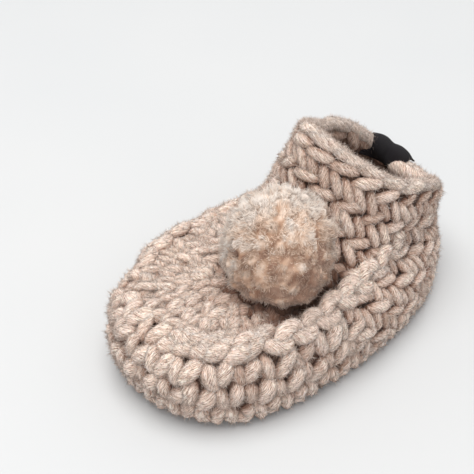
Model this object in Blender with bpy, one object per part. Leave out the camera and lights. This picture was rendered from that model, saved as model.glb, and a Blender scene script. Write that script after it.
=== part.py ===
"""A baby slipper crocheted in thick yarn: sole, one hollow upper, pompom and folded label.

The toe points to +X, the wearer's left is +Y, and the sole stands on the plane z = 0.
"""
import math
from collections import namedtuple

import bmesh
import bpy
import numpy as np
from mathutils import Vector
from mathutils.bvhtree import BVHTree

# Driving sizes, in metres
MM = 0.001
WALL = 3.6 * MM                 # thickness of the crocheted wall
SOLE_THICKNESS = 4.6 * MM
GAP = 0.3 * MM                  # room between pieces that touch
SIDE_RIB = 0.55 * MM            # how far a round of the side band bulges
CUFF_RIB = 0.6 * MM             # how far a round of the cuff bulges
WELT_STEP = 1.1 * MM            # height of the raised edge round the vamp
WELT_HALF_TOE = 0.22            # half its breadth, in rows of the section table, at the toe
WELT_HALF_SIDE = 0.62           # and at the sides, where the rows lie closer
WELT_FADE = 1.6                 # how soon it dies out towards the heel
SIDE_ROUNDS = 2
CUFF_ROUNDS = 4
AROUND = 60                     # facets round each section

# The underside: flat heel and flat forefoot, a low arch between them and a toe spring
HEEL_FLAT_END = -24 * MM
FOREFOOT_START = 4 * MM
FOREFOOT_END = 38 * MM
ARCH_RISE = 0.5 * MM
TOE_SPRING = 1.6 * MM
TOE_END = 56 * MM

# The sole's rounded edge, from its underside up: how far each ring lies in from the upper's
# outline, in millimetres, and its share of the thickness
SoleRing = namedtuple("SoleRing", "inset share")
SOLE_EDGE = [
    SoleRing(4.2, 0.0),
    SoleRing(1.5, 0.10),
    SoleRing(0.5, 0.34),
    SoleRing(0.1, 0.62),
    SoleRing(0.4, 0.88),
    SoleRing(1.2, 1.0),
]

# The pompom
POMPOM_CENTRE = Vector((11.9, 7.9, 33.5)) * MM
POMPOM_RADIUS = 14.1 * MM       # to the bottom of the dips between its locks
LOCKS = 80
LOCK_HEIGHT = 1.9 * MM
LOCK_SHIFT = 0.6                # how unevenly the locks stand, as a share of their spacing
LOCK_SEED = 5
LEAST_FACING = 0.35             # keeps its gap finite where it only grazes the upper
POMPOM_AROUND = 48
POMPOM_RINGS = 24

# The ribbon label over the rim, on the wearer's right towards the heel
LABEL_WIDTH = 14 * MM
LABEL_THICKNESS = 0.8 * MM
LABEL_TURN = math.radians(208)  # where its middle sits round the rim
LABEL_INSIDE = 0.45             # share of the cuff's height that the flaps reach down
LABEL_OUTSIDE = 0.35
LABEL_COLUMNS = 7
LABEL_STEPS = 6                 # facets along each flap and over the fold

# One row for each section of the upper, in millimetres. A section is an egg-shaped ring round
# the foot: its ends, the place and half width of its widest point, how far it leans to the left,
# the heights of its ends and sides, how much its left side stands higher than its right one, and
# how square its toe and heel halves are (2 is an ellipse).
Section = namedtuple(
    "Section", "name x_toe x_wide x_heel half_width lean z_toe z_side z_heel tilt n_toe n_heel")
SECTIONS = [
    Section("seat",     54.6,   7.4, -53.0, 30.8,  0.1,  4.9,  4.9,  4.9,  0.0, 2.5, 2.2),
    Section("side",     55.7,   8.4, -53.8, 31.0, -0.1, 12.0, 12.0, 12.0,  0.0, 2.5, 2.1),
    Section("shoulder", 52.6,   9.4, -54.5, 29.2, -0.5, 18.6, 18.0, 16.8,  0.0, 2.5, 2.05),
    Section("welt",     44.9,   9.4, -55.0, 26.4, -0.9, 21.8, 21.0, 18.6,  0.0, 2.5, 2.05),
    Section("vamp",     27.9,  -0.6, -55.4, 24.2, -0.9, 23.6, 23.4, 20.2,  0.0, 2.4, 2.05),
    Section("throat",    5.4, -15.6, -55.6, 21.6, -0.7, 27.8, 26.2, 21.6, -0.3, 2.4, 2.1),
    Section("cuff",     -1.2, -24.6, -55.0, 19.6, -0.2, 42.5, 33.4, 24.4, -1.4, 2.0, 2.15),
    Section("rim",      -4.7, -29.5, -52.4, 18.1,  0.3, 57.5, 40.8, 26.6, -2.7, 1.6, 2.3),
]
STEP = 1e-3                     # small step in rows or radians, for slopes
END_RISE = 1.35                 # how evenly a section climbs from its sides to its ends
WELT_ROW = 3
BAND_TOP = 2.5                  # the row where the side band's rounds end
THROAT_ROW = 5
RIM_ROW = len(SECTIONS) - 1

# Finishes
YARN_COLOUR = (0.60, 0.47, 0.40)
YARN_ROUGHNESS = 0.95
POMPOM_COLOUR = (0.62, 0.50, 0.40)
RIBBON_COLOUR = (0.012, 0.011, 0.012)
RIBBON_ROUGHNESS = 0.8
SHARP_ANGLE = math.radians(50)

# How many rings of facets each stretch of the upper has
RINGS_PER_SIDE_ROUND = 5
VAMP_RINGS = 10
RINGS_PER_CUFF_ROUND = 4
INNER_RINGS = 15
LIP_RINGS = 3


def clear_scene():
    for thing in list(bpy.data.objects):
        bpy.data.objects.remove(thing, do_unlink=True)


def material(name, colour, roughness):
    made = bpy.data.materials.new(name)
    made.use_nodes = True
    shader = made.node_tree.nodes["Principled BSDF"]
    shader.inputs["Base Color"].default_value = (*colour, 1.0)
    shader.inputs["Roughness"].default_value = roughness
    shader.inputs["Metallic"].default_value = 0.0
    return made


def add_object(name, vertices, faces, finish):
    """A closed, smooth-shaded mesh object with its faces turned outwards."""
    mesh = bpy.data.meshes.new(name)
    mesh.from_pydata([tuple(v) for v in vertices], [], faces)
    body = bmesh.new()
    body.from_mesh(mesh)
    bmesh.ops.recalc_face_normals(body, faces=body.faces)
    body.to_mesh(mesh)
    body.free()
    mesh.shade_smooth()
    mesh.set_sharp_from_angle(angle=SHARP_ANGLE)
    mesh.materials.append(finish)
    made = bpy.data.objects.new(name, mesh)
    bpy.context.scene.collection.objects.link(made)
    return made


def smooth(t):
    """Ease from 0 to 1 with level ends."""
    t = np.clip(t, 0.0, 1.0)
    return t * t * (3.0 - 2.0 * t)


def foot_height(x):
    """Height of the sole's underside above the floor at a place along the foot."""
    along_arch = (x - HEEL_FLAT_END) / (FOREFOOT_START - HEEL_FLAT_END)
    arch = ARCH_RISE * np.sin(math.pi * np.clip(along_arch, 0.0, 1.0)) ** 2
    spring = TOE_SPRING * np.clip((x - FOREFOOT_END) / (TOE_END - FOREFOOT_END), 0.0, 1.0) ** 2
    return arch + spring


def column(name, row):
    """One column of the section table at any place between its rows, on a smooth curve."""
    values = [getattr(section, name) for section in SECTIONS]
    low = np.clip(np.floor(row).astype(int), 0, RIM_ROW - 1)
    part = row - low
    at = [np.take(values, np.clip(low + step, 0, RIM_ROW)) for step in (-1, 0, 1, 2)]
    bend = 2 * at[0] - 5 * at[1] + 4 * at[2] - at[3]
    twist = 3 * (at[1] - at[2]) + at[3] - at[0]
    return at[1] + 0.5 * part * (at[2] - at[0] + part * (bend + part * twist))


def section_point(row, turn):
    """Points of the upper's outer skin, without its rounds: turn 0 is the toe, a quarter the left."""
    row, turn = np.broadcast_arrays(np.asarray(row, float), np.asarray(turn, float))
    x_toe, x_wide, x_heel, half_width, lean, z_toe, z_side, z_heel, tilt, n_toe, n_heel = (
        column(name, row) for name in Section._fields[1:])
    cos, sin = np.cos(turn), np.sin(turn)
    front = cos >= 0
    reach = np.where(front, x_toe - x_wide, x_wide - x_heel)
    power = 2.0 / np.where(front, n_toe, n_heel)
    along = np.sign(cos) * np.abs(cos) ** power
    across = np.sign(sin) * np.abs(sin) ** power
    z_end = np.where(front, z_toe, z_heel)
    x = (x_wide + reach * along) * MM
    y = (lean + half_width * across) * MM
    z = (z_side + (z_end - z_side) * np.abs(along) ** END_RISE + tilt * across) * MM
    on_sole = np.clip(1.0 - row, 0.0, 1.0)
    return np.stack([x, y, z + on_sole * foot_height(x)], axis=-1)


def unit(vectors):
    return vectors / np.linalg.norm(vectors, axis=-1, keepdims=True)


def skin_frame(row, turn):
    """The skin's point, its outward direction and its direction up towards the rim."""
    above = section_point(np.minimum(row + STEP, RIM_ROW), turn)
    below = section_point(np.maximum(row - STEP, 0), turn)
    up = unit(above - below)
    round_way = unit(section_point(row, turn + STEP) - section_point(row, turn - STEP))
    out = unit(np.cross(round_way, up))
    # on the sole the wall stands upright, so that its lower edge is flat
    upright = np.clip(1.0 - row, 0.0, 1.0)[..., None]
    out = unit(out * (1.0 - upright * np.array([0.0, 0.0, 1.0])))
    return section_point(row, turn), out, up


def bulge(row, turn):
    """How far the rounds and the vamp's raised edge stand off the skin."""
    side = SIDE_RIB * np.abs(np.sin(math.pi * SIDE_ROUNDS * row / BAND_TOP))
    half_edge = WELT_HALF_TOE + (WELT_HALF_SIDE - WELT_HALF_TOE) * np.sin(turn) ** 2
    edge = WELT_STEP * np.exp(-((row - WELT_ROW) / half_edge) ** 2) * smooth(1 + WELT_FADE * np.cos(turn))
    cuff_share = (row - THROAT_ROW) / (RIM_ROW - THROAT_ROW)
    cuff = CUFF_RIB * np.abs(np.sin(math.pi * CUFF_ROUNDS * cuff_share))
    return np.where(row < BAND_TOP, side, 0.0) + edge + np.where(cuff_share > 0, cuff, 0.0)


def outer_wall(row, turn):
    point, out, _ = skin_frame(row, turn)
    return point + out * bulge(row, turn)[..., None]


def inner_wall(row, turn):
    point, out, _ = skin_frame(row, turn)
    return point - out * WALL


def lip(angle, turn):
    """The rounded rim, from its outer edge (angle 0) to its inner edge (half a turn)."""
    point, out, up = skin_frame(np.full_like(turn, RIM_ROW), turn)
    middle = point - out * WALL / 2
    return middle + (out * math.cos(angle) + up * math.sin(angle)) * WALL / 2


def rings_to_mesh(rings, close=False):
    """Vertices and quads that join a list of equal rings, and the last to the first if closed."""
    size = len(rings[0])
    vertices = np.concatenate(rings)
    faces = []
    for low in range(len(rings) if close else len(rings) - 1):
        high = (low + 1) % len(rings)
        for i in range(size):
            j = (i + 1) % size
            faces.append((low * size + i, low * size + j, high * size + j, high * size + i))
    return vertices, faces


def turns(count):
    return np.arange(count) * 2 * math.pi / count


def outer_rows():
    """Rows of the section table at which the outer skin has its rings."""
    side = np.linspace(0, BAND_TOP, SIDE_ROUNDS * RINGS_PER_SIDE_ROUND + 1)
    vamp = np.linspace(BAND_TOP, THROAT_ROW, VAMP_RINGS + 1)
    cuff = np.linspace(THROAT_ROW, RIM_ROW, CUFF_ROUNDS * RINGS_PER_CUFF_ROUND + 1)
    return np.concatenate([side, vamp[1:], cuff[1:]])


def make_upper(finish):
    """Side band, vamp and cuff: one hollow wall, open at the collar and underneath."""
    turn = turns(AROUND)
    rings = [outer_wall(np.full_like(turn, row), turn) for row in outer_rows()]
    rings += [lip(math.pi * (i + 1) / (LIP_RINGS + 1), turn) for i in range(LIP_RINGS)]
    inner_rows = np.linspace(RIM_ROW, 0, INNER_RINGS)
    rings += [inner_wall(np.full_like(turn, row), turn) for row in inner_rows]
    vertices, faces = rings_to_mesh(rings, close=True)
    return add_object("upper", vertices, faces, finish)


def strip_cap(start, size):
    """Quads across a ring that is alike on its left and right, from its toe to its heel."""
    half = size // 2
    faces = [(start, start + 1, start + size - 1)]
    for i in range(1, half - 1):
        faces.append((start + i, start + i + 1, start + size - i - 1, start + size - i))
    faces.append((start + half - 1, start + half, start + half + 1))
    return faces


def make_sole(finish):
    """A flat oval plate with a rounded edge, under the whole of the upper's wall."""
    turn = turns(AROUND)
    seat, out, _ = skin_frame(np.zeros_like(turn), turn)
    rings = []
    for edge in SOLE_EDGE:
        ring = seat - out * edge.inset * MM
        ring[:, 2] = foot_height(ring[:, 0]) + edge.share * SOLE_THICKNESS
        rings.append(ring)
    vertices, faces = rings_to_mesh(rings)
    faces += strip_cap(0, AROUND)
    faces += strip_cap((len(rings) - 1) * AROUND, AROUND)
    return add_object("sole", vertices, faces, finish)


def lock_directions():
    """Directions spread over a ball, a little unevenly, one for each lock of the pompom."""
    index = np.arange(LOCKS) + 0.5
    z = 1 - 2 * index / LOCKS
    angle = index * math.pi * (3 - math.sqrt(5))
    flat = np.sqrt(1 - z * z)
    even = np.stack([flat * np.cos(angle), flat * np.sin(angle), z], axis=-1)
    shift = np.random.default_rng(LOCK_SEED).normal(0.0, LOCK_SHIFT / math.sqrt(LOCKS), even.shape)
    return unit(even + shift)


def make_pompom(finish, upper):
    """A ball of fused locks, pressed flat where it lies on the vamp and against the cuff."""
    body = bmesh.new()
    bmesh.ops.create_uvsphere(body, u_segments=POMPOM_AROUND, v_segments=POMPOM_RINGS, radius=1.0)
    locks = lock_directions()
    spread = math.sqrt(4 / LOCKS)
    seat = BVHTree.FromPolygons(
        [v.co for v in upper.data.vertices], [p.vertices for p in upper.data.polygons])
    for vertex in body.verts:
        way = vertex.co.normalized()
        nearest = math.acos(min(1.0, float(np.max(locks @ np.array(way)))))
        radius = POMPOM_RADIUS + LOCK_HEIGHT * (1 - min(1.0, nearest / spread) ** 2)
        hit = seat.ray_cast(POMPOM_CENTRE, way)
        if hit[0] is not None:
            facing = max(LEAST_FACING, abs(hit[1].dot(way)))
            radius = min(radius, hit[3] - GAP / facing)
        vertex.co = POMPOM_CENTRE + way * radius
    vertices = [v.co.copy() for v in body.verts]
    faces = [[v.index for v in f.verts] for f in body.faces]
    body.free()
    return add_object("pompom", vertices, faces, finish)


def label_path(turn, away):
    """Rows of points along the ribbon: up inside the cuff, over the lip and down outside."""
    cuff = RIM_ROW - THROAT_ROW
    path = []
    for row in np.linspace(RIM_ROW - cuff * LABEL_INSIDE, RIM_ROW, LABEL_STEPS):
        point, out, _ = skin_frame(np.full_like(turn, row), turn)
        path.append(point - out * (WALL + away))
    _, out, up = skin_frame(np.full_like(turn, RIM_ROW), turn)
    for i in range(1, LABEL_STEPS):
        angle = math.pi * (1 - i / LABEL_STEPS)
        path.append(lip(angle, turn) + (out * math.cos(angle) + up * math.sin(angle)) * away)
    for row in np.linspace(RIM_ROW, RIM_ROW - cuff * LABEL_OUTSIDE, LABEL_STEPS):
        point, out, _ = skin_frame(np.full_like(turn, row), turn)
        path.append(point + out * (CUFF_RIB + away))
    return path


def make_label(finish):
    """A ribbon folded over the rim, with one flap inside the cuff and one outside."""
    ends = section_point(np.full(2, RIM_ROW), np.array([LABEL_TURN, LABEL_TURN + STEP]))
    reach = LABEL_WIDTH / 2 * STEP / np.linalg.norm(ends[1] - ends[0])
    turn = np.linspace(LABEL_TURN - reach, LABEL_TURN + reach, LABEL_COLUMNS)
    near = label_path(turn, GAP)
    far = label_path(turn, GAP + LABEL_THICKNESS)
    rings = [np.concatenate([below, above[::-1]]) for below, above in zip(near, far)]
    vertices, faces = rings_to_mesh(rings)
    last = (len(rings) - 1) * 2 * LABEL_COLUMNS
    for start in (0, last):
        for i in range(LABEL_COLUMNS - 1):
            other = 2 * LABEL_COLUMNS - 1 - i
            faces.append((start + i, start + i + 1, start + other - 1, start + other))
    return add_object("label", vertices, faces, finish)


def main():
    clear_scene()
    make_sole(material("sole_yarn", YARN_COLOUR, YARN_ROUGHNESS))
    upper = make_upper(material("upper_yarn", YARN_COLOUR, YARN_ROUGHNESS))
    make_pompom(material("pompom_wool", POMPOM_COLOUR, YARN_ROUGHNESS), upper)
    make_label(material("black_ribbon", RIBBON_COLOUR, RIBBON_ROUGHNESS))


main()
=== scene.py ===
"""The looks of a crocheted baby slipper: every stitch is a strand of yarn laid over the solids' skin.

The toe points to +X, the wearer's left is +Y, and the sole stands on z = 0. Sizes are in metres,
and in millimetres where a comment says so.
"""
import math
from collections import namedtuple

import bpy
import numpy as np
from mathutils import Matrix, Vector
from mathutils.bvhtree import BVHTree


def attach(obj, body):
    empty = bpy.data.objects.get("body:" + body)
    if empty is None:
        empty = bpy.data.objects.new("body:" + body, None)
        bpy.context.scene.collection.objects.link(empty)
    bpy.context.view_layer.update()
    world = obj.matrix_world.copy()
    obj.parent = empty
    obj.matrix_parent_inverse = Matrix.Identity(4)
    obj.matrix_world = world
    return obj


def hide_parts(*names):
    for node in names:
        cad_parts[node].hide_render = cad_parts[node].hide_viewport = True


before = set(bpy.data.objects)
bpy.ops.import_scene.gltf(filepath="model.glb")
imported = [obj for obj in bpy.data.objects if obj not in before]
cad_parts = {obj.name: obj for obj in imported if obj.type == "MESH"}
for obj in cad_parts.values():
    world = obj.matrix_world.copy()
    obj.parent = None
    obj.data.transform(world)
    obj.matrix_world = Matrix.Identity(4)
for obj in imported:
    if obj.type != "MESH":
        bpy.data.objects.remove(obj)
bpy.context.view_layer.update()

MM = 0.001
SEED = 11

# The upper's sections and the sole, as in the part's source
WALL = 3.6 * MM
SOLE_THICKNESS = 4.6 * MM
WELT_STEP = 1.1 * MM
WELT_HALF_TOE = 0.22
WELT_HALF_SIDE = 0.62
WELT_FADE = 1.6
HEEL_FLAT_END = -24 * MM
FOREFOOT_START = 4 * MM
FOREFOOT_END = 38 * MM
ARCH_RISE = 0.5 * MM
TOE_SPRING = 1.6 * MM
TOE_END = 56 * MM
SoleRing = namedtuple("SoleRing", "inset share")  # millimetres in from the seat, share of the thickness
SOLE_EDGE = [
    SoleRing(4.2, 0.0),
    SoleRing(1.5, 0.10),
    SoleRing(0.5, 0.34),
    SoleRing(0.1, 0.62),
    SoleRing(0.4, 0.88),
    SoleRing(1.2, 1.0),
]
# Millimetres, and the powers of the oval's front and back
Section = namedtuple(
    "Section", "name x_toe x_wide x_heel half_width lean z_toe z_side z_heel tilt n_toe n_heel")
SECTIONS = [
    Section("seat",     54.6,   7.4, -53.0, 30.8,  0.1,  4.9,  4.9,  4.9,  0.0, 2.5, 2.2),
    Section("side",     55.7,   8.4, -53.8, 31.0, -0.1, 12.0, 12.0, 12.0,  0.0, 2.5, 2.1),
    Section("shoulder", 52.6,   9.4, -54.5, 29.2, -0.5, 18.6, 18.0, 16.8,  0.0, 2.5, 2.05),
    Section("welt",     44.9,   9.4, -55.0, 26.4, -0.9, 21.8, 21.0, 18.6,  0.0, 2.5, 2.05),
    Section("vamp",     27.9,  -0.6, -55.4, 24.2, -0.9, 23.6, 23.4, 20.2,  0.0, 2.4, 2.05),
    Section("throat",    5.4, -15.6, -55.6, 21.6, -0.7, 27.8, 26.2, 21.6, -0.3, 2.4, 2.1),
    Section("cuff",     -1.2, -24.6, -55.0, 19.6, -0.2, 42.5, 33.4, 24.4, -1.4, 2.0, 2.15),
    Section("rim",      -4.7, -29.5, -52.4, 18.1,  0.3, 57.5, 40.8, 26.6, -2.7, 1.6, 2.3),
]
SECTION_SIZES = np.array([section[1:] for section in SECTIONS])
STEP = 1e-3  # a small step in rows or radians, to find directions and lengths
END_RISE = 1.35  # power of the rise from the sides to the toe and the heel
WELT_ROW = 3
THROAT_ROW = 5
RIM_ROW = len(SECTIONS) - 1
POMPOM_CENTRE = Vector((11.9, 7.9, 33.5)) * MM
LABEL_WIDTH = 14 * MM
LABEL_TURN = math.radians(208)
LABEL_INSIDE = 0.45
LABEL_OUTSIDE = 0.35
CUFF_RIB = 0.6 * MM
GAP = 0.3 * MM

# The view: the photograph's angle, with the lens given in pixels of its square frame
IMAGE_SIDE = 474
LENS_PIXELS = 1000
VIEW_AZIMUTH = math.radians(138)
VIEW_ELEVATION = math.radians(37)
VIEW_DISTANCE = 0.280
VIEW_TARGET = Vector((8.834, -12.676, 23.593)) * MM
SENSOR = 36.0


# Reading and joining arrays
def unit(vectors):
    return vectors / np.maximum(np.linalg.norm(vectors, axis=-1, keepdims=True), 1e-12)


def smooth(t):
    """Ease from 0 to 1 with level ends."""
    t = np.clip(t, 0.0, 1.0)
    return t * t * (3.0 - 2.0 * t)


def between(table, place):
    """A table read at places between its rows, on a smooth curve through them."""
    last = len(table) - 1
    low = np.clip(np.floor(place).astype(int), 0, last - 1)
    part = (place - low)[..., None]
    before, start, end, after = (table[np.clip(low + step, 0, last)] for step in (-1, 0, 1, 2))
    bend = 2 * before - 5 * start + 4 * end - after
    twist = 3 * (start - end) + after - before
    return start + 0.5 * part * (end - before + part * (bend + part * twist))


def distance_along(points):
    """How far along its line each point lies, for one line of points or several."""
    gaps = np.linalg.norm(np.diff(points, axis=-2), axis=-1)
    return np.concatenate([np.zeros_like(gaps[..., :1]), np.cumsum(gaps, axis=-1)], axis=-1)


def turns(count):
    return np.arange(count) * 2 * math.pi / count


def ring_faces(rings, size, close=False):
    """Quads between equal rings, as an array of four indices each."""
    low = np.arange(rings if close else rings - 1)
    i = np.arange(size)
    a = low[:, None] * size + i
    b = low[:, None] * size + (i + 1) % size
    up = ((low + 1) % rings)[:, None] * size
    return np.stack([a, b, up + (i + 1) % size, up + i], axis=-1).reshape(-1, 4)


def tip_faces(rings, size):
    """Triangles that close a tube of rings at its two tips, which come after the rings."""
    i = np.arange(size)
    j = (i + 1) % size
    end = (rings - 1) * size
    first = np.stack([j, i, np.full(size, rings * size)], axis=-1)
    last = np.stack([i + end, j + end, np.full(size, rings * size + 1)], axis=-1)
    return np.concatenate([first, last])


def search_tree(rings):
    """A tree that finds the nearest place on a skin of equal rings."""
    faces = ring_faces(len(rings), len(rings[0]))
    return BVHTree.FromPolygons(np.concatenate(rings).tolist(), faces.tolist())


# The skin that the stitches lie on
def foot_height(x):
    along_arch = (x - HEEL_FLAT_END) / (FOREFOOT_START - HEEL_FLAT_END)
    arch = ARCH_RISE * np.sin(math.pi * np.clip(along_arch, 0.0, 1.0)) ** 2
    spring = TOE_SPRING * np.clip((x - FOREFOOT_END) / (TOE_END - FOREFOOT_END), 0.0, 1.0) ** 2
    return arch + spring


def section_point(row, turn):
    """Points of the upper's skin: turn 0 is the toe, a quarter turn the wearer's left."""
    row, turn = np.broadcast_arrays(np.asarray(row, float), np.asarray(turn, float))
    sizes = np.moveaxis(between(SECTION_SIZES, row), -1, 0)
    x_toe, x_wide, x_heel, half_width, lean, z_toe, z_side, z_heel, tilt, n_toe, n_heel = sizes
    cos, sin = np.cos(turn), np.sin(turn)
    front = cos >= 0
    reach = np.where(front, x_toe - x_wide, x_wide - x_heel)
    power = 2.0 / np.where(front, n_toe, n_heel)
    along = np.sign(cos) * np.abs(cos) ** power
    across = np.sign(sin) * np.abs(sin) ** power
    z_end = np.where(front, z_toe, z_heel)
    x = (x_wide + reach * along) * MM
    y = (lean + half_width * across) * MM
    z = (z_side + (z_end - z_side) * np.abs(along) ** END_RISE + tilt * across) * MM
    on_sole = np.clip(1.0 - row, 0.0, 1.0)
    return np.stack([x, y, z + on_sole * foot_height(x)], axis=-1)


def skin_frame(row, turn):
    """Points of the skin, and its ways out and up there."""
    row, turn = np.broadcast_arrays(np.asarray(row, float), turn)
    above = section_point(np.minimum(row + STEP, RIM_ROW), turn)
    below = section_point(np.maximum(row - STEP, 0), turn)
    up = unit(above - below)
    round_way = unit(section_point(row, turn + STEP) - section_point(row, turn - STEP))
    out = unit(np.cross(round_way, up))
    upright = np.clip(1.0 - row, 0.0, 1.0)[..., None]
    out = unit(out * (1.0 - upright * np.array([0.0, 0.0, 1.0])))
    return section_point(row, turn), out, up


def welt(row, turn):
    half_edge = WELT_HALF_TOE + (WELT_HALF_SIDE - WELT_HALF_TOE) * np.sin(turn) ** 2
    return WELT_STEP * np.exp(-((row - WELT_ROW) / half_edge) ** 2) * smooth(1 + WELT_FADE * np.cos(turn))


def outer_wall(row, turn, away=0.0):
    point, out, _ = skin_frame(row, turn)
    return point + out * (welt(row, turn) + away)[..., None]


def lip(angle, turn, away=0.0):
    """The rounded rim, from its outer edge (angle 0) to its inner edge (half a turn)."""
    point, out, up = skin_frame(RIM_ROW, turn)
    middle = point - out * WALL / 2
    reach = WALL / 2 + np.reshape(away, (-1, 1))
    return middle + (out * math.cos(angle) + up * math.sin(angle)) * reach


def inner_wall(row, turn, away=0.0):
    """The upper's inside, with away measured into the foot's room."""
    point, out, _ = skin_frame(row, turn)
    return point - out * (WALL + np.reshape(away, (-1, 1)))


TO_SPINE = np.array([0.5, 0.0, 1.0])  # scales a ring of the sole to its middle line, half as long


def towards_spine(ring, share):
    return ring + (ring * TO_SPINE - ring) * share


def sole_ring(edge, turn):
    seat, out, _ = skin_frame(0, turn)
    ring = seat - out * edge.inset * MM
    ring[:, 2] = foot_height(ring[:, 0]) + edge.share * SOLE_THICKNESS
    return ring


def sole_inside(share, turn):
    """A ring on the sole's underside, from its flat edge (share 0) in to its middle line (share 1)."""
    ring = towards_spine(sole_ring(SOLE_EDGE[0], turn), share)
    ring[:, 2] = foot_height(ring[:, 0])
    return ring


def make_outer_skin():
    """The whole outer skin: underside, sole edge, upper and lip."""
    turn = turns(360)
    rings = [sole_inside(share, turn) for share in np.linspace(1, 0, 12)[:-1]]
    rings += [sole_ring(edge, turn) for edge in SOLE_EDGE[:-1]]
    rings += [outer_wall(row, turn) for row in np.linspace(0, RIM_ROW, 141)]
    rings += [lip(angle, turn) for angle in np.linspace(0, math.pi, 13)[1:]]
    return search_tree(rings)


outer_skin = make_outer_skin()
inner_skin = search_tree([inner_wall(row, turns(240)) for row in np.linspace(RIM_ROW, 0, 60)])


def snap(points, skin):
    """The nearest places on a skin, and its outward directions there."""
    hits = [skin.find_nearest(p)[:2] for p in points.reshape(-1, 3).tolist()]
    places = np.array([hit[0] for hit in hits]).reshape(points.shape)
    out = np.array([hit[1] for hit in hits]).reshape(points.shape)
    return places, out


class Course:
    """A line of stitches over the skin, with the ways along, up and out at each place on it."""

    def __init__(self, points, closed=True, skin=outer_skin):
        self.closed = closed
        self.skin = skin
        if closed:
            ahead = np.roll(points, -1, axis=0) - np.roll(points, 1, axis=0)
            ahead = np.concatenate([ahead, ahead[:1]])
            points = np.concatenate([points, points[:1]])
        else:
            ahead = np.gradient(points, axis=0)
        self.points = points
        self.along = unit(ahead)
        _, self.out = snap(points, skin)
        self.reach = distance_along(points)
        self.length = self.reach[-1]

    def read(self, values, s):
        if self.closed:
            s = np.mod(s, self.length)
        return np.stack([np.interp(s, self.reach, values[:, i]) for i in range(3)], axis=-1)

    def points_at(self, s):
        return self.read(self.points, s)

    def up_at(self, s):
        return unit(np.cross(unit(self.read(self.out, s)), unit(self.read(self.along, s))))

    def places(self, pitch, phase=0.0):
        """Even places along the course, about a pitch apart."""
        count = max(1, round(self.length / pitch))
        step = self.length / count
        return (np.arange(count) + 0.5 + phase) * step


# Strands of yarn
Knot = namedtuple("Knot", "along up top thick")  # millimetres; top is its crown above the skin
Looseness = namedtuple("Looseness", "shift lean size")
HAND = Looseness(0.24, 0.09, 0.07)  # millimetres, radians and share: how unevenly stitches lie
HEIGHT_SHARE = 0.7  # how much of the shift goes to a strand's height
PLIES = 6
GROOVE = 0.07  # how deep the plies' grooves are, as a share of the strand's radius
TWIST = 0.42  # radians a millimetre
FIBRE_START = 400  # each strand's fibres begin anywhere within these millimetres of their pattern


def spline(knots, count):
    """A smooth run of points through a strand's knots."""
    return between(np.array(knots, float), np.linspace(0, len(knots) - 1, count))


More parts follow.
